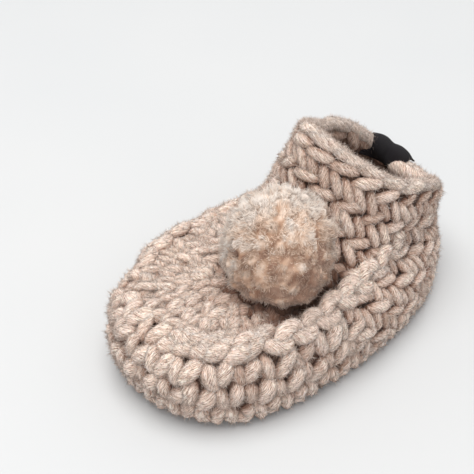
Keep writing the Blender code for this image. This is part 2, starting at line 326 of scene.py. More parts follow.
class Yarn:
    """Strands gathered for one piece."""

    def __init__(self, seed, steps=17, sides=12, flatness=0.92, painted_shade=1.0):
        self.rng = np.random.default_rng(seed)
        self.steps = steps
        self.sides = sides
        self.flatness = flatness  # height of a strand as a share of its breadth
        self.painted_shade = painted_shade  # how strongly painted shade darkens the yarn between the strands
        self.strands = []

    def lay(self, course, places, knots, flip=1.0, hand=HAND, keep=None, lift=0.0, shade=0.0):
        """Lays one strand at each place on a course.

        The lift raises it, and the shade darkens it as if it lay deeper, both in millimetres.
        """
        along, up, top, thick = spline(knots, self.steps).T
        draw = self.rng.normal(size=(len(places), 6))
        lean, size, shift_along, shift_up, swell, rise = draw.T[..., None]
        along = along * flip
        lean = lean * hand.lean
        size = 1 + size * hand.size
        s = (along * np.cos(lean) - up * np.sin(lean)) * size + shift_along * hand.shift
        t = (along * np.sin(lean) + up * np.cos(lean)) * size + shift_up * hand.shift
        thick = thick * (1 + swell * hand.size) * MM
        top = (top + rise * hand.shift * HEIGHT_SHARE + np.reshape(lift, (-1, 1))) * MM
        s = np.asarray(places)[:, None] + s * MM
        point = course.points_at(s)
        place, out = snap(point + course.up_at(s) * (t * MM)[..., None], course.skin)
        level = top - thick * self.flatness
        path = place + out * level[..., None]
        chosen = np.ones(len(places), bool) if keep is None else keep(point[:, self.steps // 2])
        shown = level - np.reshape(shade, (-1, 1)) * MM
        self.add(path[chosen], out[chosen], thick[chosen], shown[chosen])

    def lay_both(self, course, places, knots, **ways):
        """Lays a strand at each place, and then its mirror image."""
        self.lay(course, places, knots, **ways)
        self.lay(course, places, knots, flip=-1.0, **ways)

    def add(self, path, out, thick, level):
        """Adds strands along given paths."""
        self.strands.append((path, out, thick, level))

    def mesh(self, name, finish):
        """Makes the piece: closed, twisted strands, with fibre coordinates for their finish."""
        path, out, thick, level = (np.concatenate(part) for part in zip(*self.strands))
        count, steps, _ = path.shape
        sides = self.sides
        way = unit(np.gradient(path, axis=1))
        out = unit(out - way * np.sum(out * way, axis=-1, keepdims=True))
        side = np.cross(out, way)
        reach = distance_along(path) / MM
        start = self.rng.uniform(0, 2 * math.pi, (count, 1))
        run = reach + self.rng.uniform(0, FIBRE_START, (count, 1))
        angle = turns(sides)
        height = self.flatness * np.sin(angle)
        spin = angle - (start + TWIST * reach)[..., None]
        radius = thick[..., None] * (1 - GROOVE + GROOVE * np.abs(np.cos(PLIES / 2 * spin)))
        ring = side[:, :, None] * np.cos(angle)[:, None] + out[:, :, None] * height[:, None]
        skin_points = path[:, :, None] + ring * radius[..., None]
        fibre = np.stack([
            np.broadcast_to(run[..., None], spin.shape),
            radius / MM * np.cos(spin),
            radius / MM * np.sin(spin),
        ], axis=-1)
        ends = [0, -1]
        tips = path[:, ends]
        tip_fibre = np.zeros_like(tips)
        tip_fibre[..., 0] = run[:, ends]
        vertices = np.concatenate([skin_points.reshape(count, -1, 3), tips], axis=1).reshape(-1, 3)
        fibres = np.concatenate([fibre.reshape(count, -1, 3), tip_fibre], axis=1).reshape(-1, 3)
        base = np.arange(count)[:, None, None] * (steps * sides + len(ends))
        quads = (ring_faces(steps, sides) + base).reshape(-1, 4)
        caps = (tip_faces(steps, sides) + base).reshape(-1, 3)
        crown = level[..., None] + radius * height
        crowns = np.concatenate([crown.reshape(count, -1), level[:, ends]], axis=1).ravel()
        self.piece = mesh_object(name, vertices, [quads, caps], finish)
        add_attribute(self.piece, "fibre", fibres)
        # The crown, each point's height over the skin, drives the painted shade in the yarn's finish
        add_attribute(self.piece, "crown", crowns * self.painted_shade / MM)
        self.points = skin_points.reshape(-1, 3)
        self.facing = unit(ring).reshape(-1, 3)
        self.flow = np.broadcast_to(way[:, :, None, :], ring.shape).reshape(-1, 3)
        self.crown = crown.ravel() / MM
        return self


def mesh_object(name, vertices, face_groups, finish):
    """A smooth mesh object from arrays: vertices, and groups of faces with equal corner counts."""
    mesh = bpy.data.meshes.new(name)
    corners = np.concatenate([group.ravel() for group in face_groups]).astype(np.int32)
    sizes = np.concatenate([np.full(len(group), group.shape[1]) for group in face_groups])
    starts = np.concatenate([[0], np.cumsum(sizes)[:-1]]).astype(np.int32)
    mesh.vertices.add(len(vertices))
    mesh.vertices.foreach_set("co", np.asarray(vertices, np.float32).ravel())
    mesh.loops.add(len(corners))
    mesh.loops.foreach_set("vertex_index", corners)
    mesh.polygons.add(len(starts))
    mesh.polygons.foreach_set("loop_start", starts)
    mesh.update(calc_edges=True)
    mesh.shade_smooth()
    mesh.materials.append(finish)
    made = bpy.data.objects.new(name, mesh)
    bpy.context.scene.collection.objects.link(made)
    return made


def add_attribute(piece, name, values):
    values = np.asarray(values, np.float32)
    if values.ndim == 2:
        piece.data.attributes.new(name, "FLOAT_VECTOR", "POINT").data.foreach_set("vector", values.ravel())
    else:
        piece.data.attributes.new(name, "FLOAT", "POINT").data.foreach_set("value", values)


def dress(piece, node):
    """Puts a piece on the frame in place of a solid."""
    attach(piece, "root")
    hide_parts(node)


# Finishes
FIBRE_LINES = 27  # fine lines of fibre round each strand
FIBRE_WANDER = 9.0  # radians that the lines wander to and fro
WHITE = (1.0, 1.0, 1.0)


class Finish:
    """A node material under construction, with short names for what it uses."""

    def __init__(self, name, values):
        self.material = bpy.data.materials.new(name)
        self.material.use_nodes = True
        self.nodes = self.material.node_tree.nodes
        self.shader = self.nodes["Principled BSDF"]
        for socket, value in values.items():
            self.put(self.shader, socket, value)

    def put(self, node, socket, value):
        """Sets or links an input, which is given by its name or its number."""
        if isinstance(value, bpy.types.NodeSocket):
            self.material.node_tree.links.new(value, node.inputs[socket])
        else:
            node.inputs[socket].default_value = value

    def add(self, kind, inputs, **settings):
        """Adds a node and gives its outputs."""
        node = self.nodes.new(kind)
        for name, value in settings.items():
            setattr(node, name, value)
        for socket, value in inputs.items():
            self.put(node, socket, value)
        return node.outputs

    def attribute(self, name, output="Fac"):
        return self.add("ShaderNodeAttribute", {}, attribute_name=name)[output]

    def place(self):
        return self.add("ShaderNodeTexCoord", {})["Object"]

    def noise(self, place, scale, detail, roughness=0.5):
        inputs = {"Vector": place, "Scale": scale, "Detail": detail, "Roughness": roughness}
        return self.add("ShaderNodeTexNoise", inputs)["Fac"]

    def math(self, operation, *values):
        return self.add("ShaderNodeMath", dict(enumerate(values)), operation=operation)[0]

    def scaled(self, vector, factors):
        return self.add("ShaderNodeVectorMath", {0: vector, 1: factors}, operation="MULTIPLY")[0]

    def tinted(self, colour, tint):
        inputs = {0: 1.0, 6: colour, 7: tint}
        return self.add("ShaderNodeMix", inputs, data_type="RGBA", blend_type="MULTIPLY")[2]

    def ramp(self, factor, stops):
        node = self.nodes.new("ShaderNodeValToRGB")
        marks = node.color_ramp.elements
        while len(marks) < len(stops):
            marks.new(0.5)
        for mark, (place, colour) in zip(marks, stops):
            mark.position = place
            mark.color = (*colour, 1.0)
        self.put(node, "Fac", factor)
        return node.outputs["Color"]

    def colour(self, colour):
        self.put(self.shader, "Base Color", colour)

    def relief(self, height, strength, distance):
        bump = self.add("ShaderNodeBump", {"Height": height, "Strength": strength, "Distance": distance})
        self.put(self.shader, "Normal", bump[0])


def yarn_finish(name, dark, base, light):
    """Soft plied yarn: lines of fibre along each strand, slow drifts of colour, a woolly sheen, and
    painted shade in the plies' grooves and low between the strands.
    """
    f = Finish(name, {
        "Roughness": 0.95,
        "Specular IOR Level": 0.15,
        "Sheen Weight": 0.15,
        "Sheen Roughness": 0.5,
        "Subsurface Weight": 0.4,
        "Subsurface Radius": (1.0, 0.7, 0.55),
        "Subsurface Scale": 1.0 * MM,
    })
    fibre = f.attribute("fibre", "Vector")
    parts = f.add("ShaderNodeSeparateXYZ", {"Vector": fibre})
    angle = f.math("ARCTAN2", parts["Y"], parts["Z"])
    wander = f.noise(f.scaled(fibre, (0.60, 1.2, 1.2)), scale=1.0, detail=3.0, roughness=0.6)
    bent = f.math("MULTIPLY_ADD", wander, FIBRE_WANDER, f.math("MULTIPLY", angle, FIBRE_LINES / 2))
    line = f.math("POWER", f.math("ABSOLUTE", f.math("SINE", bent)), 0.5)
    hair = f.noise(f.scaled(fibre, (0.9, 3.2, 3.2)), scale=1.0, detail=3.0, roughness=0.65)
    height = f.math("MULTIPLY_ADD", line, 0.26, hair)
    ply = f.math("ABSOLUTE", f.math("COSINE", f.math("MULTIPLY", angle, PLIES / 2)))
    # Painted shade from the crown: the lower a point lies on its strand, the darker, nearly black deep
    # between the strands
    painted_shade = f.math("MULTIPLY_ADD", f.attribute("crown"), 0.3, 0.8)
    drift = f.noise(f.place(), scale=70.0, detail=2.0)
    colour = f.ramp(height, [(0.50, dark), (0.66, base), (0.84, light)])
    # Painted shade in the grooves between the plies
    colour = f.tinted(colour, f.ramp(ply, [(0.0, (0.74, 0.66, 0.62)), (0.42, WHITE)]))
    colour = f.tinted(colour, f.ramp(painted_shade, [
        (0.0, (0.10, 0.065, 0.05)),
        (0.3, (0.29, 0.19, 0.15)),
        (0.62, (0.69, 0.60, 0.555)),
        (0.95, WHITE),
    ]))
    tone = f.ramp(drift, [(0.3, (0.93, 0.92, 0.92)), (0.7, (1.05, 1.04, 1.02))])
    f.colour(f.tinted(colour, tone))
    f.relief(f.math("MULTIPLY_ADD", ply, 0.6, height), strength=1.0, distance=0.3 * MM)
    return f.material


def shade_finish(name, dark, light):
    """Painted shade: yarn coloured dark as if in shade, deep between the stitches."""
    f = Finish(name, {"Roughness": 1.0, "Specular IOR Level": 0.1})
    grain = f.noise(f.place(), scale=900.0, detail=3.0)
    f.colour(f.ramp(grain, [(0.3, dark), (0.7, light)]))
    f.relief(grain, strength=0.8, distance=0.4 * MM)
    return f.material


def wool_finish(name):
    """Brushed wool: from brown through tan to cream, partly its own colour and partly painted light, and
    darker at the fibres' roots with painted shade.
    """
    f = Finish(name, {"Roughness": 1.0, "Specular IOR Level": 0.1, "Sheen Weight": 0.2})
    drift = f.noise(f.place(), scale=150.0, detail=3.0)
    mixed = f.math("MULTIPLY_ADD", drift, 0.44, f.math("SUBTRACT", f.attribute("pale"), 0.22))
    tint = f.ramp(mixed, [
        (0.05, (0.50, 0.345, 0.27)),
        (0.36, (0.82, 0.62, 0.485)),
        (0.60, (0.92, 0.775, 0.66)),
        (0.85, (0.95, 0.87, 0.80)),
    ])
    # Painted shade: darker towards each fibre's root, and in the core's creases between locks
    roots = [(0.0, (0.42, 0.32, 0.26)), (0.5, (0.97, 0.94, 0.92)), (1.0, WHITE)]
    f.colour(f.tinted(tint, f.ramp(f.attribute("reach"), roots)))
    return f.material


def fuzz_finish(name):
    """Loose fibres, from brown to nearly white."""
    f = Finish(name, {"Roughness": 1.0, "Specular IOR Level": 0.1})
    f.colour(f.ramp(f.attribute("pale"), [
        (0.0, (0.22, 0.145, 0.11)),
        (0.3, (0.52, 0.39, 0.32)),
        (0.7, (0.80, 0.65, 0.56)),
        (1.0, (0.98, 0.88, 0.81)),
    ]))
    return f.material


def ribbon_finish(name):
    """Black ribbon in a close ribbed weave."""
    f = Finish(name, {"Roughness": 0.8, "Specular IOR Level": 0.25, "Sheen Weight": 0.03})
    weave = f.attribute("weave", "Vector")
    inputs = {"Vector": weave, "Scale": 0.9, "Distortion": 0.6}
    ribs = f.add("ShaderNodeTexWave", inputs, bands_direction="Y")["Fac"]
    thread = f.noise(f.scaled(weave, (5.0, 2.0, 1.0)), scale=1.0, detail=2.0)
    height = f.math("ADD", ribs, thread)
    f.colour(f.ramp(height, [(0.3, (0.003, 0.002, 0.003)), (0.95, (0.012, 0.009, 0.012))]))
    f.relief(height, strength=0.9, distance=0.3 * MM)
    return f.material


WOOL = wool_finish("wool")
FUZZ = fuzz_finish("fuzz")
RIBBON = ribbon_finish("ribbon")
YARN = yarn_finish("yarn", (0.26, 0.17, 0.125), (0.68, 0.525, 0.44), (1.0, 0.87, 0.78))
# Painted shade: dark yarn that stands in for the shade deep between the stitches and under the sole
PAINTED_SHADE_YARN = shade_finish("painted_shade_yarn", (0.09, 0.052, 0.038), (0.20, 0.13, 0.10))

# Room for one large stitch along its course; other courses have pitches of their own
PITCH = 8.0 * MM

# The side band: two rounds of paired legs
BAND_ROWS = (0.80, 1.82)
BAND_STAGGER = 0.35  # stitches that the second round is ahead
BAND_HAND = Looseness(0.42, 0.16, 0.10)
LEGS_FROM = 0.0 * MM  # the paired legs begin here, ahead of the heel
RIGHT_LEG = [
    Knot(-0.4, -3.9, -1.5, 1.6),
    Knot(0.6, -2.3, 0.3, 2.2),
    Knot(1.9, -0.4, 1.0, 2.45),
    Knot(3.1, 1.4, 0.8, 2.35),
    Knot(4.0, 3.2, -1.3, 1.7),
]
LEFT_LEG = [
    Knot(-1.2, -4.1, -1.6, 1.5),
    Knot(-1.6, -2.3, 0.0, 2.1),
    Knot(-2.2, -0.2, 0.5, 2.3),
    Knot(-2.8, 1.8, 0.3, 2.2),
    Knot(-3.2, 3.7, -1.3, 1.6),
]


def lay_legs(yarn, course, places):
    """Lays a large pair of legs at each place."""
    yarn.lay(course, places, LEFT_LEG, hand=BAND_HAND)
    yarn.lay(course, places, RIGHT_LEG, hand=BAND_HAND)


def make_band():
    yarn = Yarn(SEED + 1)
    turn = turns(720)
    for i, row in enumerate(BAND_ROWS):
        course = Course(outer_wall(row, turn))
        places = course.places(PITCH, phase=BAND_STAGGER * i)
        lay_legs(yarn, course, places[course.points_at(places)[:, 0] > LEGS_FROM])
    return yarn.mesh("band_stitches", YARN)


# The vamp: small paired legs over a soft filling, in rows that follow the toe's outline
VAMP_ROWS = 7
VAMP_START = 0.02  # how far in from the vamp's edge the first row lies, in rows
VAMP_PITCH = 5.2 * MM
VAMP_STAGGER = 0.4  # stitches from one row to the next
VAMP_HAND = Looseness(0.38, 0.20, 0.09)
VAMP_LEG = [
    Knot(0.0, -3.0, -0.9, 1.2),
    Knot(-0.5, -1.5, 0.15, 1.65),
    Knot(-1.2, 0.2, 0.40, 1.85),
    Knot(-1.7, 1.7, 0.25, 1.7),
    Knot(-2.0, 3.0, -0.9, 1.2),
]
FILLING = [
    Knot(-2.9, -1.7, -1.1, 1.9),
    Knot(-1.1, -0.7, -0.25, 2.4),
    Knot(1.1, 0.6, -0.25, 2.4),
    Knot(2.9, 1.6, -1.1, 1.9),
]
EdgePoint = namedtuple("EdgePoint", "degrees row")  # degrees from the toe, to either side
VAMP_EDGE = [
    EdgePoint(0, 2.62),
    EdgePoint(35, 2.68),
    EdgePoint(60, 2.85),
    EdgePoint(75, 3.0),
    EdgePoint(85, 3.2),
    EdgePoint(92, 3.7),
    EdgePoint(96, 4.4),
    EdgePoint(98, 5.0),
]
VAMP_EDGE_DEGREES, VAMP_EDGE_ROWS = np.array(VAMP_EDGE, float).T
SPINE_BEHIND = 29 * MM  # the rows close in on a line this far behind the edge
SPINE_BACK = -10 * MM  # that runs from here
SPINE_FRONT = 16.0 * MM  # to here
ABOVE_ALL = 80 * MM
THROAT_BACK = -0.3  # the vamp ends here, in lengths of the throat's front from its widest place
HOLLOW_DEPTH = 1.3  # millimetres that the vamp sinks round the pompom
HOLLOW_REACH = (14.0 * MM, 22.0 * MM)  # full within the first, none beyond the second
SHADE_DEPTH = 2.2  # millimetres, in the pompom's shade
SHADE_REACH = (12.0 * MM, 16.5 * MM)
CREASE_DEPTH = 0.7  # millimetres, beside the braid on the left
CREASE_SHADE = 1.6
CREASE_ENDS = 6 * MM  # the crease ends this far ahead of the toe row's start
CREASE_FADE = 8 * MM  # and fades over this length
TOE_ROW_FROM = 30.0 * MM  # ahead of this the rows run on over the vamp's edge
LIP_FROM = 3.0 * MM  # and to the left of this the edge bulges as a soft lip
LIP_FADE = 6 * MM


def edge_line(count):
    """The vamp's edge, from the throat on the right, round the toe, to the throat on the left."""
    degrees = np.concatenate([-VAMP_EDGE_DEGREES[:0:-1], VAMP_EDGE_DEGREES])
    rows = np.concatenate([VAMP_EDGE_ROWS[:0:-1], VAMP_EDGE_ROWS])
    index = np.arange(len(rows))
    place = np.linspace(0, len(rows) - 1, count)
    return np.interp(place, index, rows), np.radians(np.interp(place, index, degrees))


def drop(points):
    """Points seen from above, dropped on the skin."""
    down = Vector((0.0, 0.0, -1.0))
    hits = [outer_skin.ray_cast(Vector((x, y, ABOVE_ALL)), down)[0] for x, y in points[:, :2].tolist()]
    return np.array([tuple(hit) for hit in hits])


def before_throat(points):
    """Which places lie in front of the cuff, seen from above."""
    throat = SECTIONS[THROAT_ROW]
    x = (points[:, 0] / MM - throat.x_wide) / (throat.x_toe - throat.x_wide)
    y = (points[:, 1] / MM - throat.lean) / throat.half_width
    outside = np.abs(np.maximum(x, 0)) ** throat.n_toe + np.abs(y) ** throat.n_toe > 1.0
    return (x > THROAT_BACK) & outside


def near_pompom(points, reach):
    """How near places lie to the pompom, seen from above, from nothing to one."""
    inner, outer = reach
    far = np.linalg.norm(points[:, :2] - np.array(POMPOM_CENTRE)[:2], axis=1)
    return 1 - smooth((far - inner) / (outer - inner))


def edge_crease(points):
    """How far places lie in the crease beside the braid on the left, from nothing to one."""
    behind = smooth((TOE_ROW_FROM + CREASE_ENDS - points[:, 0]) / CREASE_FADE)
    return behind * smooth((points[:, 1] - LIP_FROM) / LIP_FADE)


def make_vamp():
    yarn = Yarn(SEED + 2, steps=13, sides=10, flatness=0.6, painted_shade=0.7)
    edge = section_point(*edge_line(400))
    spine = np.zeros_like(edge)
    spine[:, 0] = np.clip(edge[:, 0] - SPINE_BEHIND, SPINE_BACK, SPINE_FRONT)
    for i in range(VAMP_ROWS):
        share = (i + VAMP_START) / VAMP_ROWS
        course = Course(drop(edge + (spine - edge) * share), closed=False)
        if i == 0:
            places = course.places(PITCH)
            point = course.points_at(places)
            lay_legs(yarn, course, places[(point[:, 0] > TOE_ROW_FROM) & (point[:, 1] < LIP_FROM)])
            continue
        places = course.places(VAMP_PITCH, phase=VAMP_STAGGER * (i % 2 - 0.5))
        middle = course.points_at(places)
        crease = edge_crease(middle) if i == 1 else 0.0
        lift = -HOLLOW_DEPTH * near_pompom(middle, HOLLOW_REACH) - CREASE_DEPTH * crease
        shade = SHADE_DEPTH * near_pompom(middle, SHADE_REACH) + CREASE_SHADE * crease
        ways = dict(hand=VAMP_HAND, keep=before_throat, lift=lift, shade=shade)
        yarn.lay(course, places + 0.5 * VAMP_PITCH, FILLING, **ways)
        yarn.lay_both(course, places, VAMP_LEG, **ways)
    return yarn.mesh("vamp_stitches", YARN)


# The vamp's edge: a raised braid along the sides, and a soft lip on the left of the toe
BRAID_UPPER = [
    Knot(-4.4, -1.8, -1.3, 1.4),
    Knot(-2.4, 0.2, 0.6, 2.0),
    Knot(0.1, 1.7, 1.0, 2.3),
    Knot(2.5, 1.6, 0.8, 2.1),
    Knot(4.4, -0.4, -1.3, 1.4),
]
BRAID_LOWER = [
    Knot(-4.2, 1.5, -1.3, 1.4),
    Knot(-2.2, -0.5, 0.4, 1.9),
    Knot(0.2, -1.9, 0.7, 2.2),
    Knot(2.4, -1.8, 0.4, 2.0),
    Knot(4.2, 0.2, -1.3, 1.4),
]
BRAID_HAND = Looseness(0.45, 0.14, 0.10)
BRAID_RISE = 0.6  # millimetres
LIP_STRAND = [
    Knot(-3.9, -2.0, -1.2, 1.6),
    Knot(-2.1, -0.9, 0.6, 2.3),
    Knot(0.0, 0.2, 1.0, 2.6),
    Knot(2.1, 1.3, 0.6, 2.3),
    Knot(3.9, 2.2, -1.2, 1.6),
]
LipLine = namedtuple("LipLine", "up rise")  # millimetres up from the edge, and how high it lies
LIP_LINES = [LipLine(-0.2, 0.8), LipLine(2.4, 0.2), LipLine(4.6, -0.4)]
LIP_HAND = Looseness(0.45, 0.18, 0.12)
LIP_PITCH = 4.6 * MM
LIP_STAGGER = 0.4  # stitches that each line is ahead of the last


def raised(knots, up, rise):
    """A strand moved up its course and off the skin, in millimetres."""
    return [Knot(k.along, k.up + up, k.top + rise, k.thick) for k in knots]


def make_braid():
    yarn = Yarn(SEED + 3, sides=16, flatness=0.85)
    course = Course(outer_wall(*edge_line(600)), closed=False)
    places = course.places(PITCH)
    braid = places[course.points_at(places)[:, 0] <= TOE_ROW_FROM]
    yarn.lay(course, braid, BRAID_LOWER, hand=BRAID_HAND, lift=BRAID_RISE)
    yarn.lay(course, braid + 0.5 * PITCH, BRAID_UPPER, hand=BRAID_HAND, lift=BRAID_RISE)
    soft = course.places(LIP_PITCH)
    point = course.points_at(soft)
    soft = soft[(point[:, 0] > TOE_ROW_FROM) & (point[:, 1] > LIP_FROM)]
    for i, line in enumerate(LIP_LINES):
        ahead = LIP_STAGGER * i * LIP_PITCH
        yarn.lay(course, soft + ahead, raised(LIP_STRAND, line.up, line.rise), hand=LIP_HAND)
    return yarn.mesh("vamp_edge_braid", YARN)


# The cuff: half rounds of slanted strands, in turn one way and the other, parallel to the rim
CUFF_ROWS = 13
CUFF_STEP = 3.7 * MM
CUFF_START = 0.85  # steps from the rim to the first half round
CUFF_STAGGER = 0.3  # stitches that each half round is ahead of the last
CUFF_HAND = Looseness(0.34, 0.12, 0.09)
CUFF_SHADE = 0.5  # millimetres
CUFF_OVERLAP = 18  # degrees that the strands run in under the vamp's edge
HEEL_TO = 3.0 * MM  # behind this the cuff's strands run on down to the sole
HEEL_BLEND = 5 * MM  # and this much further forward they still run down to the band
HEEL_LOW = 0.30  # row
BAND_TOP = 2.45  # row
LOW_SLANT = [
    Knot(-4.8, -2.0, -1.4, 1.2),
    Knot(-2.7, -1.2, 0.3, 1.65),
    Knot(0.0, 0.0, 0.8, 1.85),
    Knot(2.7, 1.2, 0.5, 1.7),
    Knot(4.8, 2.0, -1.4, 1.2),
]
STEEP_SLANT = [
    Knot(-2.7, 3.0, -1.5, 1.2),
    Knot(-1.6, 1.7, 0.2, 1.6),
    Knot(0.0, 0.0, 0.6, 1.75),
    Knot(1.6, -1.7, 0.3, 1.65),
    Knot(2.7, -3.0, -1.5, 1.2),
]
MERIDIANS = turns(360)
MERIDIAN_ROWS = np.linspace(RIM_ROW, 0.2, 401)


def rim_distances():
    """How far from the rim each row lies, down each meridian."""
    rim = section_point(RIM_ROW, MERIDIANS)
    table = []
    for turn in MERIDIANS:
        line = section_point(MERIDIAN_ROWS, np.full_like(MERIDIAN_ROWS, turn))
        away = np.min(np.linalg.norm(line[:, None] - rim[None], axis=2), axis=1)
        table.append(np.maximum.accumulate(away))
    return table


RIM_DISTANCES = rim_distances()


def rows_below_rim(distance):
    """The row on each meridian that lies this far from the rim."""
    return np.array([np.interp(distance, away, MERIDIAN_ROWS) for away in RIM_DISTANCES])


def in_cuff(row, turn, x):
    """Whether places are on the cuff or heel: above the throat, or behind the vamp's edge."""
    degrees = np.abs(np.degrees((turn + math.pi) % (2 * math.pi) - math.pi))
    behind = degrees > np.interp(row, VAMP_EDGE_ROWS, VAMP_EDGE_DEGREES) - CUFF_OVERLAP
    lowest = np.where(x < HEEL_TO, HEEL_LOW, BAND_TOP)
    return (row > THROAT_ROW) | ((row > lowest) & behind & (x < HEEL_TO + HEEL_BLEND))


def make_cuff():
    yarn = Yarn(SEED + 4, steps=13, painted_shade=1.65)
    whole_turn = np.append(MERIDIANS, 2 * math.pi)
    for i in range(CUFF_ROWS):
        strand, pitch = (STEEP_SLANT, PITCH / 2) if i % 2 else (LOW_SLANT, PITCH)
        row = rows_below_rim(CUFF_STEP * (i + CUFF_START))
        course = Course(outer_wall(row, MERIDIANS))
        places = course.places(pitch, phase=CUFF_STAGGER * i)
        place_turn = np.interp(places % course.length, course.reach, whole_turn)
        place_row = np.interp(place_turn, whole_turn, np.append(row, row[0]))
        places = places[in_cuff(place_row, place_turn, course.points_at(places)[:, 0])]
        if len(places):
            yarn.lay(course, places, strand, hand=CUFF_HAND, shade=CUFF_SHADE)
    return yarn.mesh("cuff_stitches", YARN)


# The rim: two lines of long strands, each rolling over the lip from its side to its top
RIM_STRAND = 12.5 * MM
RIM_PITCH = 7.6 * MM
RIM_ROLL_START = 5  # degrees over the lip from its side, at a strand's start
RIM_ROLL_END = 95  # and at its end
RIM_RISE = 0.6  # millimetres that the strands' crowns stand over the solid's lip
RIM_THIN = 0.95  # millimetres, a strand's radius at its ends
RIM_SWELL = 1.05  # and how much more it has in its middle
RIM_BLUNT = 0.05  # share of its length that stays thin at each end
RIM_FULLNESS = 0.6  # power of the swelling: the lower, the fuller
RIM_SINK = 0.5  # millimetres that the ends lie deeper
RIM_SHADE = 0.8  # and by which they are shaded deeper
RimLine = namedtuple("RimLine", "side phase")
RIM_LINES = [RimLine(1, 0.15), RimLine(-1, 0.65)]  # from the outer side and from the inner
RimHand = namedtuple("RimHand", "length shift roll thick")
RIM_HAND = RimHand(0.06, 0.4, 7, 0.08)  # share, millimetres, degrees and millimetres
# One fat strand along the rim's inside at the heel, from the label to the left: degrees round the rim,
# degrees over the lip from its outer side, and millimetres from the lip's middle and thick
RimKnot = namedtuple("RimKnot", "turn roll reach thick")
HEEL_STRAND = [
    RimKnot(197, 130, 2.6, 1.0),
    RimKnot(192, 124, 3.5, 2.3),
    RimKnot(181, 116, 3.3, 2.7),
    RimKnot(166, 105, 2.6, 2.5),
    RimKnot(149, 96, 2.0, 2.1),
    RimKnot(134, 90, 1.2, 1.1),
]


def make_rim():
    yarn = Yarn(SEED + 5)
    point, out, up = skin_frame(RIM_ROW, turns(360))
    course = Course(point - out * WALL / 2)
    out = np.concatenate([out, out[:1]])
    up = np.concatenate([up, up[:1]])
    t = np.linspace(0, 1, yarn.steps)
    swell = np.sin(math.pi * np.clip(t * (1 + 2 * RIM_BLUNT) - RIM_BLUNT, 0, 1)) ** RIM_FULLNESS
    for line in RIM_LINES:
        places = course.places(RIM_PITCH, line.phase)
        length, shift, roll, thick = yarn.rng.normal(size=(len(places), 4)).T[..., None]
        s = places[:, None] + (t - 0.5) * RIM_STRAND * (1 + RIM_HAND.length * length)
        s = s + RIM_HAND.shift * MM * shift
        roll = RIM_ROLL_START + (RIM_ROLL_END - RIM_ROLL_START) * smooth(t) + RIM_HAND.roll * roll
        roll = np.radians(90 + line.side * (roll - 90))[..., None]
        away = course.read(out, s) * np.cos(roll) + course.read(up, s) * np.sin(roll)
        thick = (RIM_THIN + RIM_SWELL * swell + RIM_HAND.thick * thick) * MM
        reach = WALL / 2 + RIM_RISE * MM - thick + (swell - 1) * RIM_SINK * MM
        level = np.broadcast_to((swell - 1) * RIM_SHADE * MM, thick.shape)
        yarn.add(course.points_at(s) + away * reach[..., None], away, thick, level)
    turn, roll, reach, thick = spline(HEEL_STRAND, yarn.steps).T
    point, out, up = skin_frame(RIM_ROW, np.radians(turn))
    roll = np.radians(roll)[:, None]
    away = out * np.cos(roll) + up * np.sin(roll)
    path = point - out * WALL / 2 + away * (reach * MM)[:, None]
    yarn.add(path[None], away[None], (thick * MM)[None], np.zeros((1, yarn.steps)))
    return yarn.mesh("rim_chain", YARN)


# The wall behind the stitches, coloured with painted shade
WALL_DEPTH = 2.1 * MM
LIP_DEPTH = 1.6 * MM


def make_wall():
    turn = turns(120)
    rings = [outer_wall(row, turn, -WALL_DEPTH) for row in np.linspace(0, RIM_ROW, 33)]
    rings += [lip(angle, turn, -LIP_DEPTH) for angle in np.linspace(0, math.pi, 7)[1:-1]]
    rings += [inner_wall(row, turn) for row in np.linspace(RIM_ROW, 0, 21)]
    faces = ring_faces(len(rings), len(turn), close=True)
    return mesh_object("upper_wall", np.concatenate(rings), [faces], PAINTED_SHADE_YARN)


# The cuff's inside: a cord under the rim, and shaded rows of legs below it
INSIDE_CORD = [
    Knot(-5.2, 1.6, -1.2, 1.3),
    Knot(-2.7, 0.8, 0.5, 1.9),
    Knot(0.0, 0.0, 0.9, 2.1),
    Knot(2.7, -0.8, 0.5, 1.9),
    Knot(5.2, -1.6, -1.2, 1.3),
]
INSIDE_LEG = [
    Knot(0.3, -4.4, -1.2, 1.2),
    Knot(0.8, -2.0, 0.2, 1.7),
    Knot(1.6, 0.6, 0.6, 1.9),
    Knot(2.4, 2.8, 0.2, 1.7),
    Knot(2.9, 4.6, -1.2, 1.2),
]
InsideRow = namedtuple("InsideRow", "distance shade")  # millimetres from the rim, and deep in shade
INSIDE_ROWS = [
    InsideRow(7.0, 4.0),
    InsideRow(11.5, 3.2),
    InsideRow(16.0, 2.4),
    InsideRow(20.5, 2.0),
    InsideRow(25.0, 2.0),
]
CORD_DEPTH = 2.2 * MM
CORD_PITCH = 0.8 * PITCH
CORD_SHADE = 1.2
CORNER_X = -8.0 * MM  # ahead of this and below the height the wall turns in towards the vamp
CORNER_HEIGHT = 34.0 * MM


def inside_course(distance):
    return Course(inner_wall(rows_below_rim(distance), MERIDIANS), skin=inner_skin)


def off_corner(points):
    """Which places on the inside lie clear of the corner between vamp and cuff."""
    return (points[:, 0] < CORNER_X) | (points[:, 2] > CORNER_HEIGHT)


def make_inside():
    yarn = Yarn(SEED + 8, steps=8, sides=8)
    course = inside_course(CORD_DEPTH)
    yarn.lay(course, course.places(CORD_PITCH), INSIDE_CORD, hand=CUFF_HAND, shade=CORD_SHADE)
    for i, row in enumerate(INSIDE_ROWS):
        course = inside_course(row.distance * MM)
        places = course.places(PITCH, phase=0.5 * (i % 2))
        yarn.lay_both(course, places, INSIDE_LEG, keep=off_corner, shade=row.shade)
    return yarn.mesh("inside_stitches", YARN)


# Fine hairs
HAIR_SIDES = 3
HAIR_TAPER = 0.35
HAIR_ASIDE = np.array([0.31, 0.52, 0.79])  # any way that hardly a hair runs along


